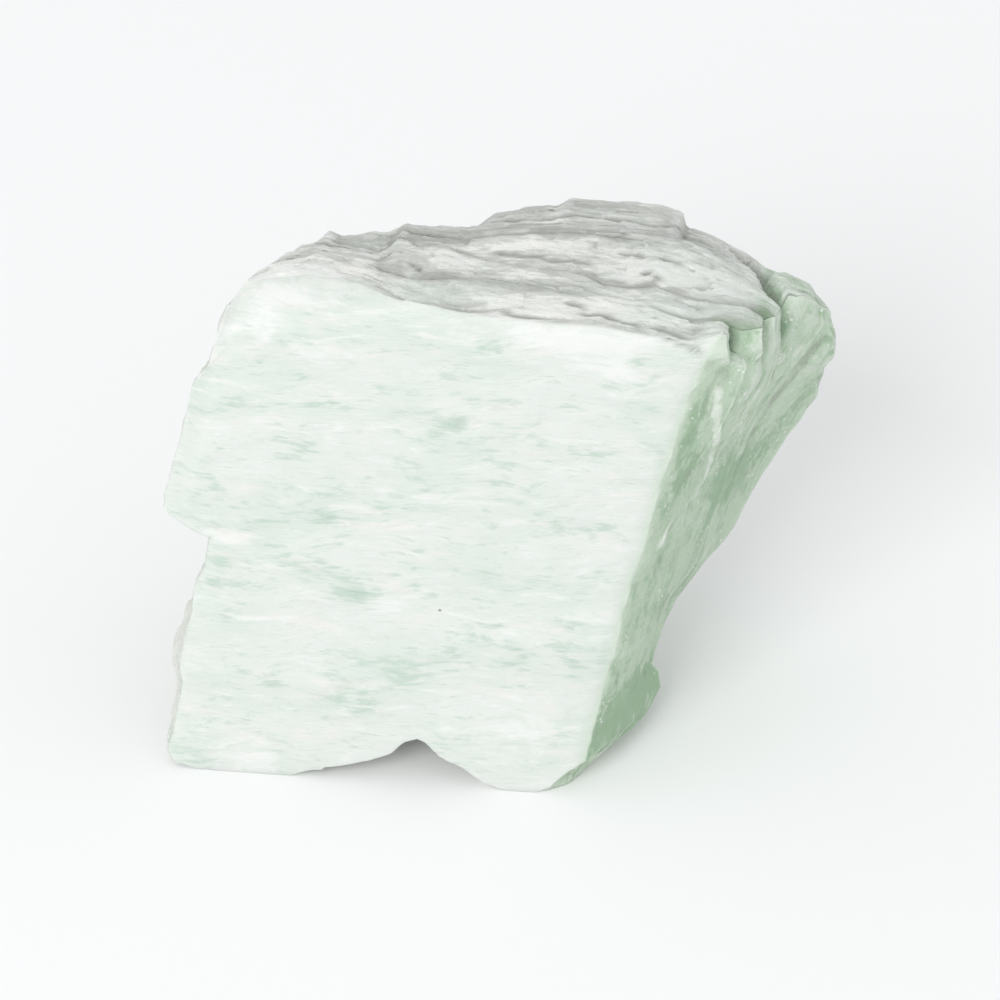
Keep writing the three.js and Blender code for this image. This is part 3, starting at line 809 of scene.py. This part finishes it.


# lighter (+) and darker (-) places: middle and half sizes, then strength
# on the top, the darker marks about 8 to 12 deep, along and behind the ridge, are painted shade on its rear
# slope
topTones = [
    (-2.9, 7.2, 0.9, 0.3, 1.4), (-5, 5.6, 1.8, 1, 0.7), (0.5, 8, 0.5, 0.4, 1.4),
    (3.4, 7.7, 5, 0.9, 0.5), (1, 5.85, 0.9, 0.2, 1), (3.1, 5.8, 0.6, 0.25, 0.9),
    (0.8, 4.75, 2.3, 0.3, 1.1), (6.5, 6.3, 1.3, 1.1, 0.6), (10.2, 5.9, 3.2, 1.3, 1.7),
    (3.4, 2.2, 5.2, 0.8, 2), (5.3, 2.5, 0.6, 0.5, 0.8), (6.8, 2.2, 0.7, 0.5, 0.8),
    (1, 1.4, 3.4, 0.7, 1.2), (11.4, 2.9, 1, 0.25, 0.6), (-13, 2, 3.6, 1.8, 0.8),
    (-9, 7.4, 0.9, 0.5, 0.7), (-14, 0.4, 4, 0.8, 0.6), (-10, 3.2, 2.2, 0.8, 0.5),
    (0.8, 11.8, 2, 0.6, 0.6), (3.6, 14, 2, 1, 0.3), (1.6, 3.7, 3, 0.6, -1.4),
    (-6.3, 4.3, 0.7, 0.9, -0.8), (-5.6, 8.6, 2.3, 0.8, -1.5), (-7.5, 8.3, 0.6, 0.7, -1),
    (0.5, 9.7, 3.6, 0.8, -1.7), (-10.4, 7.3, 2.2, 1, -1), (4.2, 9.9, 2.8, 0.8, -1.2),
    (9, 11.5, 2, 1.8, -1), (11.4, 10, 1.6, 1.2, -0.9), (9.4, 2.6, 1.6, 0.5, -0.9),
    (-4.8, 2.4, 2.8, 1, -0.3), (-3.4, 0.8, 2.4, 0.5, -0.6), (-5.5, 13.5, 3.4, 3, -0.8),
    (3, 15, 8, 2.4, -0.5), (15.8, 8.4, 1, 1.2, 0.6), (17.4, 7.6, 0.7, 1.2, 1),
    (13.8, 12, 1.4, 1.6, -0.6),
]
rightTones = [
    (22.8, 1.5, 2.2, 0.6, -0.7), (19.8, 2.6, 1.8, 1, -0.8), (17.2, 11.2, 1.8, 2.6, -1.2),
    (18.6, 8.4, 1, 1, -0.6), (28, 6.9, 1.4, 0.9, -0.5), (14.5, 9, 3.2, 5, -0.2),
    (11, 3, 4, 1.2, -0.2), (4.6, 5, 2.2, 4, -1.4), (25.6, 8.6, 1, 1.6, 0.6),
    (22.2, 7, 1.6, 1.6, 0.4), (19.8, 11, 1.2, 1.6, 0.5), (28.4, 4.4, 1.6, 0.6, 0.4),
    (24, 5.5, 1.2, 1, 0.6), (13.4, 4.6, 1.6, 1.4, 0.3), (26.6, 11.5, 1.4, 1.6, -0.6),
    (23, 13.5, 1.6, 1.6, -0.3),
]
frontWhites = [
    (4, 28.4, 9, 0.8, 0.9), (-12, 27, 1.8, 0.9, 0.5), (-15.3, 28.2, 1.8, 1, 0.6),
    (-13, 29.8, 3.8, 0.8, 0.9), (-8.7, 29.3, 2, 0.6, 0.4), (5.3, 26.5, 2.8, 1.4, 0.6),
    (-7.1, 11.4, 2.2, 0.9, 0.6), (-0.4, 4.2, 5, 2.6, 0.5), (-15.8, 1.4, 3.6, 0.9, 0.5),
    (-15.5, 10.4, 3.2, 0.8, 0.4), (-7.8, 18.4, 3.8, 0.4, 0.7), (-10.9, 22.3, 3.2, 0.5, 0.5),
    (-16.8, 15.2, 2.6, 0.6, 0.5), (1.6, 12.4, 3, 0.5, 0.4),
]

# greener places: on the top, then the green lenses in the front face
topGreens = [(-6.2, 2.4, 1.5, 1, 1.3), (-3.6, 2.5, 1.8, 0.7, 0.9), (8.6, 2.6, 2.4, 1, 0.8)]
greenLenses = [
    (-2.9, 23, 1.3, 0.5, 1), (-4.4, 22.4, 0.9, 0.4, 0.8), (-0.1, 22.1, 1.5, 0.3, 0.7),
    (4.4, 21.5, 1.5, 0.45, 0.8), (-0.6, 19.5, 1.4, 0.3, 0.9), (-3.3, 18.9, 0.9, 0.3, 0.6),
    (-12.6, 21.4, 1.5, 0.4, 0.7), (-17.4, 22.8, 1, 0.45, 0.5), (-15.2, 20, 1.6, 0.35, 0.5),
    (-17.5, 18.3, 1, 0.5, 0.7), (-12.9, 17, 0.8, 0.4, 0.6), (-10.5, 16.5, 1, 0.6, 1),
    (-7.6, 17.2, 0.7, 0.5, 0.5), (-3, 15.2, 1.4, 0.25, 0.5), (-16.4, 13.3, 1.5, 0.5, 0.9),
    (-12, 13.6, 1.7, 0.45, 0.8), (-16, 12.1, 2, 0.3, 0.8), (-9.1, 12.1, 1.4, 0.7, 1.1),
    (-5.2, 12.6, 1.4, 0.4, 0.8), (-6.5, 14.7, 2, 0.15, 0.6), (-1.4, 10.6, 1, 0.25, 0.8),
    (3.2, 10.9, 1, 0.2, 0.6), (-1.4, 9.7, 1, 0.2, 0.8), (0.1, 9.2, 1, 0.2, 0.8),
    (1.6, 8.8, 1, 0.2, 0.8), (-13.8, 6.2, 0.7, 0.7, 0.9), (-8.4, 7.6, 0.9, 0.6, 0.6),
    (-10.3, 7.4, 0.8, 0.5, 0.5), (-5.5, 7.3, 1.5, 0.8, 0.5), (-2.9, 8, 1.2, 0.7, 0.5),
    (-0.1, 8.1, 1.3, 0.2, 0.6), (3.9, 8.5, 0.9, 0.5, 0.5), (-9.8, 5.6, 0.7, 0.8, 0.6),
    (-8.5, 5.4, 0.4, 0.9, 0.5), (-17.8, 3.4, 2.2, 0.22, 0.6), (-14.2, 2.6, 1.1, 0.4, 0.4),
    (3.8, 24.6, 1.6, 0.5, 0.35), (3.8, 16.8, 1.5, 0.3, 0.6), (5, 16.1, 0.4, 0.4, 0.7),
    (-10.8, 23.8, 1.2, 0.4, 0.4), (-7.4, 25.9, 0.9, 0.25, 0.4), (-12, 10.9, 1.4, 0.2, 0.5),
    (5.3, 19.6, 1.4, 0.2, 0.4), (-14.5, 24.8, 1.5, 0.3, 0.3),
]

# how far each side's look runs over onto its neighbours, in millimetres, and how strong the marks are
markForm = {
    "rightFade": (-1.1, 1),
    "rightSlopes": [0.45, 0.16],  # how slowly it fades out over the top, and over the rear and foot
    "corner": (0.4, (0.92, 0.95)),  # its slower start at the front's top corner
    "topSlope": 1.8,
    "overTop": (0.45, (1.5, 3), (10.5, 8.5)),  # how far it comes over the ledges, between which depths
    "overHidden": (0.6, 0.7, 2.5),  # and over the rear and foot: mean, change, size
    "knobAcross": (12.6, 14.6),
    "topFade": [(-18, 1.8), (-12, 1.6), (-8, 0.8), (-4, 0.3), (0, 0.2)],
    "topFadeEnds": (-0.6, 0.9),
    "behind": (0.8, (-3.6, 0), 1.6, 2),  # share, how far down, its change and size
    "green": (0.6, (3, 9), (10.5, 8)),  # strength, where across, where deep
    "topLeaf": (0.45, 3, 3.3),  # strength, length, step from leaf to leaf
    "sideLeaf": (0.135, 5, 3.3),
    # the last four set the painted shade in the seams, cracks and ledge corners: where it starts and how
    # strong
    "shadowFront": 0.4,
    "crackFront": 0.3,
    "ledgeShade": (0.25, 0.5),
    "frontCrackShade": 0.7,
}
breakSides = ["top", "right", "left", "rear", "foot"]


def sidesAt(s, w, t):
    # the sides of the box that each vertex lies on: two on an edge, three at a corner
    return {"top": w == 1, "right": s == 1, "left": s == 0, "rear": t == 1, "foot": w == 0, "front": t == 0}


def rightShare(on, s, w, t, across, up, deep, fromTop):
    # millimetres inside the right side's edges (+) or out over its neighbours (-), faded to 0..1
    form = markForm
    depth = t * stoneShape["depth"]
    slope, height = form["corner"]
    corner = rise(w, *height) * (depth < stoneShape["sheetEnds"][0])
    over, start, end = form["overTop"]
    over = over * rise(depth, *start) * rise(depth, *end)
    mean, change, size = form["overHidden"]
    inside = np.minimum(depth * mix(1, slope, corner), stoneShape["depth"] - depth + mean)
    inside = np.minimum(inside, over - form["topSlope"] * fromTop)
    hidden = on["rear"] | on["foot"]
    slope = np.select([on["top"], hidden], form["rightSlopes"], 1.0)
    outside = (s - 1) * (rightAcross(w, t) - leftAcross(w, t)) * slope + over * on["top"]
    outside = outside + hidden * (mean + change * roughness(across / size, (up + deep) / size, 95))
    share = rise(np.where(on["right"], inside, outside), *form["rightFade"])
    return np.maximum(share, rise(across, *form["knobAcross"]) * on["top"])


def topShare(on, s, w, across, up, deep, fromTop):
    # over the front edge, a fade as wide as topFade says; down the left and rear, a ragged fade
    fade = follow(markForm["topFade"], across)
    low, full = markForm["topFadeEnds"]
    ahead = rise(np.where(on["top"], deep - frontDeep(s, w), fromTop), low * fade, full * fade)
    share, down, change, size = markForm["behind"]
    ragged = change * roughness((across + deep) / size, up / size, 94)
    behind = share * rise(fromTop + ragged, *down) * (on["left"] | on["rear"])
    return np.where(on["top"] | on["front"], ahead, behind)


def greenShare(on, across, up, deep):
    # the front's lenses; on the top, its greener right end and placed patches
    strength, where, back = markForm["green"]
    end = strength * rise(across, *where) * rise(deep, *back)
    onTop = (end + patches(topGreens, across, deep)) * on["top"]
    return np.where(on["front"], patches(greenLenses, across, up), onTop)


def toneShare(on, across, up, deep, depth):
    # placed light and dark marks, the pale crest, and a tone for each leaf
    strength, halfWidth, change, head = crestForm["pale"]
    crest = strength * crestShare(up, depth, head, halfWidth + change * crestChips(up))
    leaf = np.searchsorted(leaves, depth)
    strength, length, step = markForm["topLeaf"]
    level = strength * noise(across / length, leaf * step, 91) * (on["top"] | on["foot"])
    strength, length, step = markForm["sideLeaf"]
    level = level + strength * noise(up / length, leaf * step, 92) * (on["right"] | on["left"])
    tone = np.where(on["top"], patches(topTones, across, deep), 0 * up)
    tone = np.where(on["right"] & ~on["top"], patches(rightTones, up, deep) + crest, tone) + level
    return np.where(on["front"] & ~on["top"] & ~on["right"], patches(frontWhites, across, up), tone)


def crackShadeShare(on, across, up, deep, depth):
    # painted shade in the top's seams and cracks, in the corners of the right side's ledges, and in the
    # front's one crack
    form = markForm
    shadow = seamShadow(topSeams, across, depth) * rise(deep, 0, form["shadowFront"])
    onTop = np.maximum(cracks(topCracks, across, deep)[1] * rise(deep, 0, form["crackFront"]), shadow)
    onRight = rise(cornerCut(rightSeams, up, depth), *form["ledgeShade"])
    onFront = form["frontCrackShade"] * cracks(frontCracks, across, up)[1]
    return np.select([on["top"], on["right"], on["front"]], [onTop, onRight, onFront], 0.0)


def markStone(on, s, w, t, across, up, deep):
    # what the finish reads at each vertex: which break it lies on, how green and light it is, and how much
    # painted shade its cracks get
    depth = t * stoneShape["depth"]
    fromTop = up - topUp(s, t)
    return {
        "topBreak": topShare(on, s, w, across, up, deep, fromTop),
        "rightBreak": rightShare(on, s, w, t, across, up, deep, fromTop),
        **{side + "Break": on[side] * 1.0 for side in ("left", "rear", "foot")},
        "green": greenShare(on, across, up, deep),
        "tone": toneShare(on, across, up, deep, depth),
        "crackShade": crackShadeShare(on, across, up, deep, depth),
    }


def hackled(points, quads, on, across, up, deep):
    # out along the normals by each side's depth * (facets of two sizes + grain), none at the ground
    relief = stoneRelief
    wide, thin = relief["hackleStretch"]
    sheets = np.stack([across * wide, deep * thin, up], 1)
    hackle = sum(high * brokenFacets(sheets, size, seed) for high, size, seed in relief["hackleFacets"])
    hackle = hackle + noiseInSpace(sheets, relief["hackleGrain"], 5)
    depths = relief["breakDepth"]
    sides = [(on[side], depths[side]) for side in breakSides]
    strength = np.select(*zip(*sides), depths["front"])
    clear = rise(points[:, 2], 0.0, relief["hackleClear"])
    return points + vertexNormals(points, quads) * (strength * hackle * clear)[:, None]


def creviceAt(points, quads):
    # 0.5 + strength * (smoothed place - place) . normal: high in hollows, low on ridges; the finish paints
    # shade into the hollows by it and lightens the ridges
    normals = vertexNormals(points, quads)
    total = 0.5
    for rounds, strength in stoneRelief["crevices"]:
        total = total + strength * ((relaxed(points, quads, rounds) - points) * normals).sum(1)
    return clamp01(total)


def makeStone():
    # the box's skin is bent to the sheets, stood up, roughened, and given its marks
    relief = stoneRelief
    s, w, t, quads = boxSkin(ruledEven(relief["acrossLines"]), ruledEven(relief["upLines"]), ruledDeep())
    across, up, deep = sheetPlace(s, w, t)
    on = sidesAt(s, w, t)
    marks = markStone(on, s, w, t, across, up, deep)
    deep = deep + np.where(on["front"], cracks(frontCracks, across, up)[0], 0)
    points = standUp(across, up, deep)
    points[:, 2] = np.maximum(0, points[:, 2])
    points = hackled(points, quads, on, across, up, deep)
    points[:, 2] = np.maximum(0, points[:, 2])
    marks["crevice"] = creviceAt(points, quads)
    print("stone worked out:", len(points), "vertices,", 2 * len(quads), "triangles")
    print("box in mm:", points.min(0).round(2), points.max(0).round(2))
    stone = addMesh("amazoniteStone", points * millimetre, quads.tolist())
    mesh = stone.data
    for name, values in marks.items():
        mesh.attributes.new(name, "FLOAT", "POINT").data.foreach_set("value", values.astype(np.float32))
    mesh.polygons.foreach_set("use_smooth", np.ones(len(quads), bool))
    mesh.set_sharp_from_angle(angle=math.radians(relief["sharpAngle"]))
    return stone


stone = makeStone()


class Wire:
    # a socket that can stand in a sum: wire + 1, 1 - wire, wire * other and the rest add Math nodes
    def __init__(self, finish, socket):
        self.finish = finish
        self.socket = socket

    def math(self, operation, first, second):
        return self.finish.add("ShaderNodeMath", {"operation": operation}, {0: first, 1: second})

    def __add__(self, other):
        return self.math("ADD", self, other)

    def __radd__(self, other):
        return self.math("ADD", other, self)

    def __sub__(self, other):
        return self.math("SUBTRACT", self, other)

    def __rsub__(self, other):
        return self.math("SUBTRACT", other, self)

    def __mul__(self, other):
        return self.math("MULTIPLY", self, other)

    def __rmul__(self, other):
        return self.math("MULTIPLY", other, self)


class Finish:
    # one material's nodes
    def __init__(self, name):
        self.material = bpy.data.materials.new(name)
        self.material.use_nodes = True
        self.tree = self.material.node_tree
        self.tree.nodes.clear()

    def add(self, kind, settings=None, sockets=None, out=0):
        node = self.tree.nodes.new(kind)
        for name, value in (settings or {}).items():
            setattr(node, name, value)
        for name, value in (sockets or {}).items():
            if isinstance(value, Wire):
                self.tree.links.new(value.socket, node.inputs[name])
            else:
                node.inputs[name].default_value = value
        return Wire(self, node.outputs[out]) if len(node.outputs) else None

    def attribute(self, name):
        return self.add("ShaderNodeAttribute", {"attribute_name": name}, out="Fac")

    def vector(self, operation, first, second=(0, 0, 0), out=0):
        return self.add("ShaderNodeVectorMath", {"operation": operation}, {0: first, 1: second}, out)

    def cloud(self, place, look):
        # noise at (place + shift) * scale
        shift, scale, detail, rough, bent = look
        place = self.vector("MULTIPLY", self.vector("ADD", place, shift) if shift else place, scale)
        sockets = {"Vector": place, "Scale": 1, "Detail": detail, "Roughness": rough, "Distortion": bent}
        return self.add("ShaderNodeTexNoise", {}, sockets)

    def grains(self, place):
        return self.add("ShaderNodeTexVoronoi", {}, {"Vector": place, "Scale": 1.0}, out="Distance")

    def rise(self, wire, low, full):
        # 0 at low, 1 at full, smooth between
        sockets = {"Value": wire, "From Min": low, "From Max": full}
        return self.add("ShaderNodeMapRange", {"interpolation_type": "SMOOTHSTEP"}, sockets)

    def tint(self, share, first, second):
        # first colour to second colour by share
        return self.add("ShaderNodeMix", {"data_type": "RGBA"}, {0: share, 6: first, 7: second}, out=2)

    def finished(self, sockets):
        # the shader with its sockets set, joined to the output
        shader = self.add("ShaderNodeBsdfPrincipled", {}, sockets)
        self.add("ShaderNodeOutputMaterial", {}, {"Surface": shader})
        return self.material


def colour(red, green, blue):
    # screen numbers 0..255 to linear light
    share = np.array([red, green, blue]) / 255
    linear = np.where(share <= 0.04045, share / 12.92, ((share + 0.055) / 1.055) ** 2.4)
    return (*[float(v) for v in linear], 1.0)


# the crack and crevice greys and the crack green are painted shade for seams, cracks and hollows; the side
# speck colour is a painted glint
stoneColours = {
    "milk": (217, 221, 216), "white": (229, 230, 227), "blush": (230, 225, 222),
    "paleGreen": (203, 215, 205), "green": (185, 202, 189), "lensGreen": (168, 188, 173),
    "edgeGreen": (208, 220, 205), "sage": (191, 209, 187),
    "sideDark": (158, 185, 155), "sideLight": (226, 233, 222), "sideGlint": (240, 243, 238),
    "topGrey": (204, 205, 199), "topLight": (239, 239, 234), "topDark": (177, 178, 172),
    "topGreen": (214, 224, 216), "creviceShadeGrey": (190, 193, 184),
    "shadeGrey": (158, 160, 153), "crackShadeGreen": (112, 134, 108),
    "cream": (226, 218, 196), "speck": (120, 104, 88),
}

# each cloud's shift, scale (across, deep, up; per millimetre), detail, roughness and distortion
stoneClouds = {
    "sway": (None, (0.11, 0.2, 0.25), 1, 0.5, 0),
    "clouds": (None, (0.1, 0.14, 0.26), 3, 0.6, 0),
    "lenses": (None, (0.42, 0.4, 1.3), 4, 0.62, 0.6),
    "threads": ((7, 3, 9), (0.9, 0.9, 4.4), 3, 0.6, 0.4),
    "hairs": ((2, 8, 4), (0.7, 1.1, 8), 3, 0.6, 0.3),
    "whites": ((21, 5, 2), (0.36, 0.5, 1.5), 4, 0.62, 0.6),
    "warmth": ((5, 31, 12), (0.3, 0.4, 0.9), 3, 0.6, 0.4),
    "patch": (None, (0.35, 0.5, 0.3), 4, 0.62, 0.5),
    "fibres": (None, (1.5, 1.9, 1.05), 4, 0.68, 0.8),
    "scatter": (None, (0.6, 0.6, 0.6), 1, 0.5, 0),
    "leafLines": (None, (0.9, 2.4, 2), 4, 0.68, 0.5),
    "leafPatch": ((4, 17, 6), (0.4, 0.8, 0.6), 3, 0.6, 0.5),
    "stain": (None, (0.16, 0.2, 0.22), 3, 0.6, 0),
    "satin": (None, (1.2, 1.2, 3), 2, 0.5, 0),
    "fineGrain": (None, (4, 4, 4), 4, 0.65, 0),
    "leafGrain": (None, (0.8, 6, 1.4), 3, 0.6, 0),
}

# each coat: from which level to which it comes in, its strength and its colour
stoneCoats = {
    "streaks": (0.08, 0.36, 0.75, "green"),
    "lenses": (0.3, 0.8, 0.85, "lensGreen"),
    "hairs": (0.56, 0.7, 0.35, "green"),
    "whites": (0.52, 0.78, 0.85, "white"),
    "warmth": (0.52, 0.74, 0.5, "blush"),
    "sidePatches": (0.46, 0.72, 1, "sideDark"),
    "sideFibres": (0.54, 0.78, 0.85, "sideLight"),
    "lightLeaves": (0.47, 0.68, 1, "topLight"),
    "darkLeaves": (0.48, 0.24, 0.9, "topDark"),
    "rearFibres": (0.5, 0.72, 0.5, "topLight"),
}

stoneFinish = {
    "swayHigh": 2.2,
    "cloudEdge": (0.40, 0.66),
    "cloudsOnFace": 0.62,
    "level": {"green": 0.36, "lenses": 1.1, "threads": 0.9, "clouds": 0.1},
    "lightOnWhites": 0.28,
    "fibresInPatch": 0.8,
    "sideDarkens": 0.32,
    "fibresBrighten": (0.26, 0.12),
    "glintScale": (2.0, 2.3, 2.6),
    "glintEdge": (0.30, 0.14),
    "scatterEdge": (0.56, 0.66),
    "scatterLight": 0.26,
    "glints": 0.7,
    "leafMix": (0.66, 0.34),
    "leavesBrighten": (0.26, 0.3),
    "leavesDarken": (0.32, 0.12),
    "topCloud": 0.2,
    "topGreen": 0.45,
    "stainEdge": (0.5, 0.7),
    "stain": 0.75,
    "cloudsBehind": 0.6,
    "leftBehind": 0.75,
    "footBehind": 0.7,
    "edge": (0.0, 0.62),
    "edgeOffTop": 0.45,
    "side": (0.40, 1.0),
    "rightBroken": 0.8,
    "hollow": (0.54, 0.9),
    "hollowShade": 0.55,
    "ridge": (0.46, 0.2),
    "ridgeShare": 0.4,
    "ridgeLess": 0.25,
    "crackShade": 0.8,
    "crackShadeTurnsGreen": (0.5, 0.9),
    "specks": [(-3.93, 0.3, 11.29, 0.16), (-3.16, 0.3, 10.4, 0.12)],  # across, deep, up, radius
    "speckCore": 0.5,
    "speckFlat": (1, 0.3, 1.3),
    "speck": 0.8,
    "gloss": {"face": 0.40, "broken": 0.2, "satin": 0.16},
    "grainRelief": {"face": 0.015, "broken": 0.04, "right": 0.06},
    "relief": {"threads": 0.05, "hairs": 0.02, "leafGrain": 0.04, "leafLines": 0.2},
}


def makeFinish():
    f = Finish("amazonite")
    c = {name: colour(*screen) for name, screen in stoneColours.items()}
    look = stoneFinish
    where = f.add("ShaderNodeTexCoord", out="Object")
    # back into the sheets' own axes, in millimetres: x across, y deep, z up
    sockets = {
        "Vector": where,
        "Location": (-stoneShape["middle"][0] * millimetre, -stoneShape["middle"][1] * millimetre, 0),
        "Rotation": (math.radians(-stoneShape["lean"]), 0, math.radians(-stoneShape["yaw"])),
        "Scale": (millimetre, millimetre, millimetre),
    }
    sheet = f.add("ShaderNodeMapping", {"vector_type": "TEXTURE"}, sockets)
    top, right, left, rear, foot = [f.attribute(side + "Break") for side in breakSides]
    green, tone, crackShade, crevice = [f.attribute(name) for name in ("green", "tone", "crackShade", "crevice")]
    light = f.rise(tone, 0.0, 1.0)
    dark = f.rise(tone, 0.0, -1.0)

    # the streaks wander: a slow wave is added to the place before anything is ruled along it
    sway = f.cloud(sheet, stoneClouds["sway"])
    swayed = f.add("ShaderNodeCombineXYZ", {}, {"Z": (sway - 0.5) * look["swayHigh"]})
    flow = f.vector("ADD", sheet, swayed)

    def ruled(name):
        return f.cloud(flow, stoneClouds[name])

    def coat(name, wire, under):
        # a colour laid over what is under it, by strength * the wire's rise from low to full
        low, full, strength, over = stoneCoats[name]
        share = f.rise(wire, low, full)
        return f.tint(share if strength == 1 else share * strength, under, c[over])

    clouds = f.rise(ruled("clouds"), *look["cloudEdge"])
    lenses, threads, hairs, whites = [ruled(name) for name in ("lenses", "threads", "hairs", "whites")]
    share = look["level"]
    level = green * share["green"] + (lenses - 0.5) * share["lenses"] + (threads - 0.5) * share["threads"]
    level = level + clouds * share["clouds"]
    face = f.tint(clouds * look["cloudsOnFace"], c["milk"], c["paleGreen"])
    face = coat("lenses", level, coat("streaks", level, face))
    face = coat("hairs", hairs, face)
    face = coat("whites", whites + light * look["lightOnWhites"], face)
    face = coat("warmth", ruled("warmth"), face)

    # the right side: greener, in soft patches drawn out along its edge, with painted glints in small pale
    # cells
    fibres = f.cloud(sheet, stoneClouds["fibres"])
    patchy = ruled("patch") + (fibres - 0.5) * look["fibresInPatch"] + dark * look["sideDarkens"]
    side = coat("sidePatches", patchy, c["sage"])
    brighter, darker = look["fibresBrighten"]
    side = coat("sideFibres", fibres + light * brighter - dark * darker, side)
    # painted glints: small Voronoi cells turned near white where the scatter cloud is high
    glints = f.rise(f.grains(f.vector("MULTIPLY", sheet, look["glintScale"])), *look["glintEdge"])
    scatter = f.cloud(sheet, stoneClouds["scatter"]) + light * look["scatterLight"]
    side = f.tint(glints * f.rise(scatter, *look["scatterEdge"]) * look["glints"], side, c["sideGlint"])

    # the broken top: grey and white leaves; the darker strokes are partly the stone's tone, partly painted
    # shade where the leaves part
    leafLines = ruled("leafLines")
    lineShare, patchShare = look["leafMix"]
    leafLook = leafLines * lineShare + ruled("leafPatch") * patchShare
    brighter, darker = look["leavesBrighten"]
    above = coat("lightLeaves", leafLook + light * brighter - dark * darker, c["topGrey"])
    darker, brighter = look["leavesDarken"]
    above = coat("darkLeaves", leafLook - dark * darker + light * brighter, above)
    above = f.tint(clouds * look["topCloud"] + green * look["topGreen"], above, c["topGreen"])

    # the hidden sides: grey and sage, with a few cream stains
    stain = f.rise(f.cloud(sheet, stoneClouds["stain"]), *look["stainEdge"])
    behind = f.tint(clouds * look["cloudsBehind"], c["topGrey"], c["sage"])
    behind = f.tint(stain * look["stain"], behind, c["cream"])
    behind = coat("rearFibres", fibres, behind)

    # each side's look where its break lies, then painted shade in the hollows, lighter ridges, and painted
    # shade in the cracks
    body = f.tint(left * look["leftBehind"], face, behind)
    body = f.tint(rear, body, behind)
    body = f.tint(foot * look["footBehind"], body, behind)
    body = f.tint(top, body, above)
    body = f.tint(f.rise(right, *look["edge"]) * (1.0 - top * look["edgeOffTop"]), body, c["edgeGreen"])
    body = f.tint(f.rise(right, *look["side"]), body, side)
    broken = f.rise(top + left + right * look["rightBroken"] + rear + foot, 0.0, 1.0)
    hidden = f.rise(left + rear + foot, 0.0, 1.0)
    # painted shade in the hollows, darker on the broken sides in view than on the hidden ones
    hollow = f.rise(crevice, *look["hollow"]) * broken * look["hollowShade"]
    body = f.tint(hollow, body, f.tint(hidden, c["shadeGrey"], c["creviceShadeGrey"]))
    ridge = f.rise(crevice, *look["ridge"]) * broken * (look["ridgeShare"] - hidden * look["ridgeLess"])
    body = f.tint(ridge, body, c["white"])
    # painted shade in the seams, cracks and ledge corners, turning green on the right side
    crackShadeColour = f.tint(f.rise(right, *look["crackShadeTurnsGreen"]), c["shadeGrey"], c["crackShadeGreen"])
    body = f.tint(crackShade * look["crackShade"], body, crackShadeColour)

    for *middle, size in look["specks"]:
        away = f.vector("MULTIPLY", f.vector("SUBTRACT", sheet, middle), look["speckFlat"])
        length = f.vector("LENGTH", away, out="Value")
        body = f.tint(f.rise(length, size, size * look["speckCore"]) * look["speck"], body, c["speck"])

    # satin on the cleavage face, dull on the breaks
    share = look["gloss"]
    gloss = share["face"] + share["broken"] * broken + share["satin"] * ruled("satin")
    share = look["grainRelief"]
    grainy = f.cloud(sheet, stoneClouds["fineGrain"])
    grainy = grainy * (share["face"] + share["broken"] * broken + share["right"] * right)
    share = look["relief"]
    relief = threads * share["threads"] + hairs * share["hairs"] + grainy
    relief = relief + ruled("leafGrain") * broken * share["leafGrain"]
    relief = relief + leafLines * top * share["leafLines"]
    bump = f.add("ShaderNodeBump", {}, {"Strength": 1.0, "Distance": millimetre, "Height": relief})
    return f.finished({
        "Base Color": body,
        "Roughness": gloss,
        "Normal": bump,
        "IOR": 1.53,
        "Subsurface Weight": 0.3,
        "Subsurface Radius": (0.9, 1.0, 0.9),
        "Subsurface Scale": millimetre,
        "Specular IOR Level": 0.5,
    })


stone.data.materials.append(makeFinish())
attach(stone, "root")
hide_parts("amazonite_block")
print("stone finished")

floorCloth = {
    "radius": 1.6,
    "colour": (0.93, 0.932, 0.93, 1),
    "roughness": 0.9,
    "corners": 96,
}


def makeFloor(cloth):
    # a flat ring of points round the origin, radius * (cos, sin), as one face
    turn = np.linspace(0, 2 * math.pi, cloth["corners"], endpoint=False)
    rim = np.stack([np.cos(turn), np.sin(turn), 0 * turn], 1) * cloth["radius"]
    floor = addMesh("floor", rim, [list(range(len(rim)))])
    look = {"Base Color": cloth["colour"], "Roughness": cloth["roughness"]}
    floor.data.materials.append(Finish("paleFloor").finished(look))


makeFloor(floorCloth)
print("floor laid")
